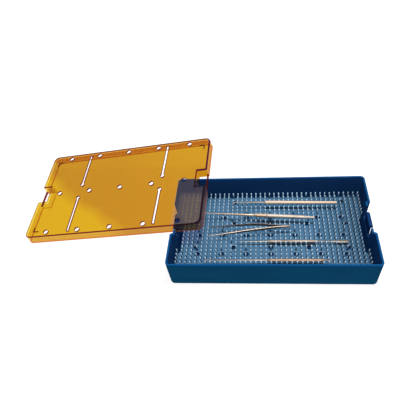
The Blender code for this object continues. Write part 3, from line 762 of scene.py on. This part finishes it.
def add_lid_openings(body):
    """The walls of the holes and slots. Returns their rings in the top face and in the underside."""
    above, below = [], []
    for i in range(-2, 3):
        for j in (-1, 0, 1):
            x, y = i * HOLE_STEP_X, j * HOLE_STEP_Y
            rings = [body.ring(at_height(circle(x, y, radius, HOLE_SIDES), z)) for radius, z in (
                (HOLE_R + HOLE_LIP, 0.0), (HOLE_R, -HOLE_LIP), (HOLE_R, -LID_PLATE + HOLE_LIP),
                (HOLE_R + HOLE_LIP, -LID_PLATE))]
            body.loft(rings, EDGE)
            above.append(rings[0])
            below.append(rings[-1])
    for sx in (-1, 1):
        for sy in (-1, 1):
            outline = slot_outline(sx * SLOT_X, sy)
            rings = [body.ring(at_height(outline, z)) for z in (0.0, -LID_PLATE)]
            body.loft(rings, EDGE)
            above.append(rings[0])
            below.append(rings[1])
    return above, below


def add_rib(body, sx, sy):
    """An L under one corner of the plate: its arms point to the middle of the lid."""
    plan = [(0, 0), (RIB_LEN, 0), (RIB_LEN, RIB_T), (RIB_T, RIB_T), (RIB_T, RIB_LEN), (0, RIB_LEN)]
    outline = [(sx * (RIB_X - x), sy * (RIB_Y - y)) for x, y in plan]
    rings = [body.ring(at_height(outline, z)) for z in (-LID_PLATE - RIB_H, -LID_PLATE - HAIR)]
    body.loft(rings, RIB)
    body.face(rings[0], RIB)
    body.face(rings[1], CLEAR)


def add_bar(body, sx):
    """The catch bar across the mouth of one notch."""
    x0, x1 = sorted((sx * BAR_X0, sx * BAR_X1))
    body.box(x0, x1, HAIR - NOTCH_HALF, NOTCH_HALF - HAIR, -BAR_LOW, -BAR_HIGH, BAR)


def add_lid_edge(body):
    """The top's rounded edge, from a flat strip inside it to the shoulder. Returns its first and last rings.

    The rounding shows as a dark line, and so do the strip and the band below at the back, the strip also at
    the right end, where the line is deepest.
    """
    stations = [(LID_ROUND + LID_STRIP, 0.0)]
    for k in range(LID_ROUND_STEPS + 1):
        turn = math.pi / 2 * k / LID_ROUND_STEPS
        stations.append((LID_ROUND * (1 - math.sin(turn)), -LID_ROUND * (1 - math.cos(turn))))
    edge = [lid_ring(body, inset, LID_CORNER_OUT - inset, z) for inset, z in stations]
    body.loft(edge[:2], CLEAR)
    body.recolour(CLEAR, EDGE, lambda x, y: y > LID_HALF_Y - DARK_BACK or x > LID_HALF_X - DARK_RIGHT)
    body.loft(edge[1:], EDGE)
    brow = lid_ring(body, -LID_FLARE * BROW_SHARE, LID_CORNER_OUT, -LID_PLATE)
    shoulder = lid_ring(body, -LID_FLARE * SHOULDER_SHARE, LID_CORNER_OUT, -LID_PLATE - SHOULDER_DROP)
    body.loft([edge[-1], brow], CLEAR)
    body.recolour(CLEAR, EDGE, lambda x, y: y > LID_HALF_Y - DARK_BROW)
    body.loft([brow, shoulder], CLEAR)
    body.recolour(EDGE, DEEP_EDGE, lambda x, y: x > LID_HALF_X - DARK_RIGHT and abs(y) > NOTCH_HALF)
    return edge[0], shoulder


def add_skirt(body, shoulder):
    """The skirt: down its outer face, round its lip and up its inner face. Returns its last ring."""
    bend = LID_FILLET * MID_ARC
    rings = [shoulder]
    for inset, radius, z in (
        (-LID_FLARE, LID_CORNER_OUT, LIP_BEVEL_Z - LID_DEPTH),
        (LIP_BEVEL_X - LID_FLARE, LID_CORNER_OUT, -LID_DEPTH),
        (LID_WALL - LID_FLARE - LIP_BEVEL_X, LID_CORNER_IN, -LID_DEPTH),
        (LID_WALL - LID_FLARE, LID_CORNER_IN, LIP_BEVEL_Z - LID_DEPTH),
        (LID_WALL, LID_CORNER_IN, -LID_PLATE - LID_FILLET),
        (LID_WALL + bend, LID_CORNER_IN, -LID_PLATE - bend),
        (LID_WALL + LID_FILLET, LID_CORNER_IN, -LID_PLATE),
    ):
        rings.append(lid_ring(body, inset, radius, z))
    body.loft(rings[:2], SKIRT_OUT)
    body.loft(rings[1:5], LIP)
    body.loft(rings[4:], SKIRT_IN)
    side, mouth = LID_HALF_X - NEAR_NOTCH, NOTCH_HALF + NEAR_NOTCH
    body.recolour(LIP, SKIRT_IN, lambda x, y: abs(x) < side and abs(y) < mouth)
    return rings[-1]


def make_lid(materials):
    body = Body()
    top, shoulder = add_lid_edge(body)
    under = add_skirt(body, shoulder)
    above, below = add_lid_openings(body)
    body.fill(top, above, CLEAR)
    body.fill(under, below, CLEAR)
    for sx in (-1, 1):
        add_bar(body, sx)
        for sy in (-1, 1):
            add_rib(body, sx, sy)
    lid = body.build("amber_lid", materials, SHARP_LID)
    turn = Euler([math.radians(a) for a in LID_TURN], "XYZ").to_matrix().to_4x4()
    lid.matrix_world = Matrix.Translation(Vector(LID_AT) * MM) @ turn
    return stands_for(lid, "lid_body", "lid")


# ---------------------------------------------------------------- instruments

def ends_of(node):
    """Middles of the left and right end faces of a long CAD piece, in millimetres."""
    points = np.array([v.co for v in node.data.vertices]) / MM
    x = points[:, 0]
    left = points[x < x.min() + END_REACH].mean(0)
    right = points[x > x.max() - END_REACH].mean(0)
    return Vector(left), Vector(right)


def add_turned(body, start, end, profile, knurl=None, flat=None):
    """A turned bar between two points. knurl is the (from, to) stretch that carries a diamond pattern.

    flat gives the height of the bar's section as a share of its width at a distance along it.
    """
    length = (end - start).length
    ahead = (end - start).normalized()
    across = ahead.cross(Vector((0, 0, 1))).normalized()
    up = across.cross(ahead)
    stations = [(min(place, length), radius) for place, radius in profile]
    if knurl:
        stations = with_steps(stations, *knurl)
    sides = KNURL_TEETH * 4 if knurl else TURNED_SIDES
    rings = []
    for place, radius in stations:
        tall = flat(place) if flat else 1.0
        ring = []
        for k in range(sides):
            angle = 2 * math.pi * k / sides
            r = radius
            if knurl and knurl[0] < place < knurl[1]:
                r -= KNURL_DEPTH * knurl_dip(angle, place)
            out = across * math.cos(angle) + up * tall * math.sin(angle)
            ring.append(tuple(start + ahead * place + r * out))
        rings.append(body.ring(ring))
    body.loft(rings)
    body.cap(rings)


def knurl_dip(angle, place):
    """0 on the crests and 1 in the grooves of a diamond knurl."""
    turn = angle * KNURL_TEETH / 2
    run = math.pi * place / KNURL_PITCH / 2
    return 1 - abs(math.cos(turn + run)) * abs(math.cos(turn - run))


def with_steps(stations, low, high):
    """The same profile with stations a third of the knurl's pitch apart between low and high."""
    step = KNURL_PITCH / 3
    places = [low + step * i for i in range(int((high - low) / step) + 1)]
    kept = [s for s in stations if not low < s[0] < high]
    added = [(p, radius_at(stations, p)) for p in places]
    return sorted(kept + added)


def radius_at(stations, place):
    """The profile's radius at a distance along it."""
    for (p0, r0), (p1, r1) in zip(stations, stations[1:]):
        if p0 <= place <= p1:
            return r0 + (r1 - r0) * (place - p0) / max(1e-9, p1 - p0)
    return stations[-1][1]


def turned_piece(frame, node, name, body_name, profile, metal, knurl=None, flat=None):
    """A turned piece along the CAD node that it stands for."""
    start, end = ends_of(frame["nodes"][node])
    body = Body()
    add_turned(body, start, end, profile, knurl, flat)
    return stands_for(body.build(name, [metal], SHARP_METAL), body_name, node)


def swept_piece(node, name, body_name, stations, metal):
    """A bent wire through (x, y, z, radius) stations, with its bends eased."""
    eased = ease(stations)
    centres = [Vector(s[:3]) for s in eased]
    body = Body()
    rings = []
    across = Vector((0, 0, 1))
    for i, (centre, station) in enumerate(zip(centres, eased)):
        ahead = (centres[min(i + 1, len(centres) - 1)] - centres[max(i - 1, 0)]).normalized()
        across = (across - ahead * across.dot(ahead)).normalized()
        side = ahead.cross(across)
        angles = [2 * math.pi * k / WIRE_SIDES for k in range(WIRE_SIDES)]
        rings.append(body.ring([tuple(centre + station[3] * (across * math.cos(a) + side * math.sin(a)))
                                for a in angles]))
    body.loft(rings)
    body.cap(rings)
    return stands_for(body.build(name, [metal], SHARP_METAL), body_name, node)


def ease(stations):
    """Cuts the corners of a line of stations, so that its bends are smooth."""
    for _ in range(EASINGS):
        cut = [stations[0]]
        for a, b in zip(stations, stations[1:]):
            for t in (0.25, 0.75):
                cut.append(tuple(p + (q - p) * t for p, q in zip(a, b)))
        stations = cut + [stations[-1]]
    return stations


def make_hook(frame, alloy, steel):
    z = middle_of("hook_handle").z
    swept_piece("hook_shaft", "hook_wire", "hook", [
        (-51.5, 41.7, z, 0.18), (-51.5, 44.5, z, 0.42), (-51.3, 48.0, z, 0.55), (-49.0, 49.5, z, 0.65),
        (-30.0, 49.3, z, 0.80), (-12.0, 49.0, z, 0.95), (-6.65, 48.9, z, 1.05)], steel)
    turned_piece(frame, "hook_handle", "hook_grip", "hook", HOOK_HANDLE, alloy)


def make_probe(frame, collar, gold, pale):
    turned_piece(frame, "probe_tip", "probe_point", "probe", PROBE_POINT, gold)
    turned_piece(frame, "probe_collar", "probe_chuck", "probe", PROBE_COLLAR, collar, COLLAR_KNURL)
    turned_piece(frame, "probe_handle", "probe_grip", "probe", PROBE_HANDLE, pale)
    turned_piece(frame, "probe_cap", "probe_end_cap", "probe", PROBE_CAP, pale)


def make_spatula(frame, alloy):
    turned_piece(frame, "spatula_shaft", "spatula_stem", "spatula", SPATULA_STEM, alloy)
    turned_piece(frame, "spatula_handle", "spatula_grip", "spatula", SPATULA_HANDLE, alloy)
    turned_piece(frame, "spatula_blade", "spatula_tip", "spatula", SPATULA_TIP, alloy, flat=blade_share)


def blade_share(place):
    """The spatula's end is round at the neck and flattens into a spoon."""
    return 1.0 - SPOON_FLAT * min(1.0, max(0.0, (place - SPOON_FROM) / SPOON_RUN))


def make_curette(frame, alloy, steel):
    _, y, z = middle_of("curette_handle")
    swept_piece("curette_shaft", "curette_wire", "curette", [
        (-84.6, y, z + 4.15, 0.16), (-84.55, y, z + 2.8, 0.34), (-84.3, y, z + 1.0, 0.48), (-82.8, y, z, 0.6),
        (-60.0, y, z, 0.75), (-40.0, y, z, 0.9), (-14.0, y, z, 1.15), (-5.25, y, z, 1.28)], steel)
    turned_piece(frame, "curette_handle", "curette_grip", "curette", CURETTE_HANDLE, alloy, CURETTE_KNURL)
    turned_piece(frame, "curette_cap", "curette_end_cap", "curette", CURETTE_CAP, steel)


def middle_of(node):
    """Middle of a CAD node's box, in millimetres."""
    low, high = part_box(node)
    return (low + high) / 2 / MM


def arm_sections(node):
    """(x, y, half thickness, half height) along a CAD spring arm, eased between its own stations."""
    points = np.array([v.co for v in node.data.vertices]) / MM
    stations = []
    for x in sorted({round(float(p), 2) for p in points[:, 0]}):
        here = points[np.abs(points[:, 0] - x) < 0.02]
        low, high = here.min(0), here.max(0)
        stations.append((x, (low[1] + high[1]) / 2, (high[1] - low[1]) / 2, (high[2] - low[2]) / 2))
    return ease(stations)


def make_arm(frame, node, name, body_name, metals):
    """One flat spring arm standing on edge, its long edges rounded and the upper one painted brighter, as a
    painted highlight, in the last of the metals.
    """
    z = middle_of(node).z
    body = Body()
    rings = []
    for x, y, half_t, half_h in arm_sections(frame["nodes"][node]):
        radius = ARM_ROUND * half_t
        outline = rounded([(half_t, -half_h, radius), (half_t, half_h, radius), (-half_t, half_h, radius),
                           (-half_t, -half_h, radius)], 3)
        rings.append(body.ring([(x, y + dy, z + dz) for dy, dz in outline]))
    body.loft(rings)
    # Painted highlight: the upper long edge takes the last metal, the brighter one where two are given
    corner = len(outline) // 4
    for i in range(len(body.faces)):
        if corner <= i % len(outline) < 3 * corner - 1:
            body.slots[i] = len(metals) - 1
    body.cap(rings)
    return stands_for(body.build(name, metals, SHARP_METAL), body_name, node)


def make_forceps(frame, metals):
    make_arm(frame, "forceps_arm_back", "tweezer_arm_back", "forceps_back_arm", metals[:1])
    make_arm(frame, "forceps_arm_front", "tweezer_arm_front", "forceps_front_arm", metals)
    make_heel(metals[1:])


def make_heel(metals):
    """The block that joins the forceps' arms: blunt at its free end, bevelled above and below."""
    low, high = (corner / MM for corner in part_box("forceps_heel"))
    x, y, _ = (low + high) / 2
    half = (high.y - low.y) / 2
    neck, neck_half, end_half = high.x - HEEL_TAPER, half * HEEL_NECK_Y, half * HEEL_END_Y
    outline = rounded([
        (low.x, y - half, 0.3), (neck, y - neck_half, 1.5), (high.x, y - end_half, 0.5),
        (high.x, y + end_half, 0.5), (neck, y + neck_half, 1.5), (low.x, y + half, 0.3)], 4)
    inner = [(x + (u - x) * HEEL_TOP_X, y + (v - y) * HEEL_TOP_Y) for u, v in outline]
    body = Body()
    rings = [body.ring(at_height(plan, z)) for plan, z in (
        (inner, low.z), (outline, low.z + HEEL_BEVEL), (outline, high.z - HEEL_BEVEL), (inner, high.z))]
    body.loft(rings)
    body.cap(rings)
    return stands_for(body.build("tweezer_heel", metals, SHARP_METAL), "forceps", "forceps_heel")


# ---------------------------------------------------------------- studio

def make_floor():
    corners = [(-SWEEP_HALF, -SWEEP_HALF), (SWEEP_HALF, -SWEEP_HALF), (SWEEP_HALF, SWEEP_HALF),
               (-SWEEP_HALF, SWEEP_HALF)]
    body = Body()
    body.face(body.ring(at_height(corners, SWEEP_Z)))
    body.build("studio_floor", [floor_material()])


def add_area(name, place, size, power):
    """A square lamp that looks at the middle of the base."""
    lamp = bpy.data.lights.new(name, "AREA")
    lamp.shape, lamp.size, lamp.energy = "SQUARE", size * MM, power
    obj = bpy.data.objects.new(name, lamp)
    obj.location = Vector(place) * MM
    obj.rotation_euler = (-Vector(place)).to_track_quat("-Z", "Y").to_euler()
    bpy.context.scene.collection.objects.link(obj)
    return obj


def add_lamps(spared):
    """An overhead lamp whose highlights are a lamp of their own, so that one object can be spared them.

    The clear lid would mirror the lamp as a burnt patch.
    """
    light = add_area("light_lamp", LIGHT_AT, LIGHT_SIZE, LAMP_POWER)
    light.visible_glossy = False
    gleam = add_area("highlight_lamp", GLEAM_AT, GLEAM_SIZE, LAMP_POWER)
    gleam.visible_diffuse = False
    group = bpy.data.collections.new("without_highlights")
    group.objects.link(spared)
    group.collection_objects[0].light_linking.link_state = "EXCLUDE"
    gleam.light_linking.receiver_collection = group


def make_world(strength):
    """An even white sky that lights at the given strength and looks plain white."""
    world = bpy.data.worlds.new("studio_air")
    world.use_nodes = True
    nodes, links = world.node_tree.nodes, world.node_tree.links
    back = nodes["Background"]
    ray = nodes.new("ShaderNodeLightPath")
    level = nodes.new("ShaderNodeMapRange")
    level.inputs["To Min"].default_value = strength
    level.inputs["To Max"].default_value = 1.0
    links.new(ray.outputs["Is Camera Ray"], level.inputs["Value"])
    links.new(level.outputs["Result"], back.inputs["Strength"])
    back.inputs["Color"].default_value = WHITE
    bpy.context.scene.world = world


def make_camera():
    """The photograph's view. It takes in the whole object."""
    lens = bpy.data.cameras.new("view")
    lens.lens, lens.sensor_width = CAMERA_LENS, CAMERA_SENSOR
    camera = bpy.data.objects.new("view", lens)
    camera.location = Vector(CAMERA_AT) * MM
    camera.rotation_euler = [math.radians(a) for a in CAMERA_TURN]
    bpy.context.scene.collection.objects.link(camera)
    bpy.context.scene.camera = camera


def make_tray(frame):
    plastic = blue_plastic("blue_plastic", *OUTSIDE_BLUES)
    # The inside copy is painted darker, as painted shade, and the latches take it too
    inner = blue_plastic("blue_inside_shaded", *SHADED_INSIDE_BLUES)
    make_base([plastic, inner])
    make_latch("left", -1, inner)
    make_latch("right", 1, inner)
    make_mat(silicone(), frame["nodes"]["silicone_mat"])


def amber_materials():
    """The lid's materials, in the order of its slots."""
    return [
        clear_amber("amber_clear", AMBER, AMBER_LIGHT, 0.01, 0.05, band=True),
        clear_amber("amber_edge", (0.20, 0.014, 0.075), (0.22, 0.018, 0.075), 0.04),
        clear_amber("amber_red", (0.72, 0.28, 0.03), (0.74, 0.31, 0.03), 0.15),
        clear_amber("amber_skirt_outer", SKIRT_AMBER, SKIRT_LIGHT, 0.01, 0.20, skirt_side="outer"),
        clear_amber("amber_skirt_inner", SKIRT_AMBER, SKIRT_LIGHT, 0.01, skirt_side="inner"),
        clear_amber("amber_rib", (0.40, 0.11, 0.45), (0.42, 0.12, 0.45), 0.12),
        clear_amber("amber_bar", (0.36, 0.04, 0.03), (0.38, 0.05, 0.03), 0.08),
        clear_amber("amber_deep_edge", (0.11, 0.009, 0.11), (0.12, 0.011, 0.12), 0.05)]


def make_instruments(frame):
    rose = turned_metal("rose_alloy", (0.50, 0.38, 0.275), (0.60, 0.465, 0.35), 0.55, metallic=0.25)
    pale = turned_metal("pale_alloy", (0.43, 0.35, 0.28), (0.49, 0.41, 0.345), 0.52, metallic=0.30)
    collar = turned_metal("collar_alloy", (0.30, 0.21, 0.14), (0.46, 0.34, 0.23), 0.45)
    gold = turned_metal("gold_alloy", (0.38, 0.27, 0.18), (0.52, 0.39, 0.27), 0.40)
    brown = turned_metal("brown_alloy", (0.188, 0.116, 0.080), (0.265, 0.173, 0.122), 0.45)
    tan = turned_metal("tan_alloy", (0.188, 0.149, 0.113), (0.265, 0.218, 0.176), 0.42)
    steel = turned_metal("steel", (0.19, 0.155, 0.13), (0.29, 0.24, 0.205), 0.38)
    spring = turned_metal("spring_steel", (0.055, 0.050, 0.048), (0.095, 0.085, 0.078), 0.32)
    # Steel painted brighter, a painted highlight on the forceps' front arm's upper edge; the heel takes it
    # too
    highlight_steel = turned_metal("steel_painted_highlight", (0.36, 0.28, 0.215), (0.54, 0.43, 0.34), 0.40)
    make_hook(frame, rose, steel)
    make_probe(frame, collar, gold, pale)
    make_spatula(frame, tan)
    make_curette(frame, brown, steel)
    make_forceps(frame, [spring, highlight_steel])


def main():
    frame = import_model()
    make_tray(frame)
    lid = make_lid(amber_materials())
    make_instruments(frame)
    make_floor()
    make_world(SKY)
    add_lamps(lid)
    make_camera()
    bpy.context.scene.view_settings.view_transform = "Standard"


main()
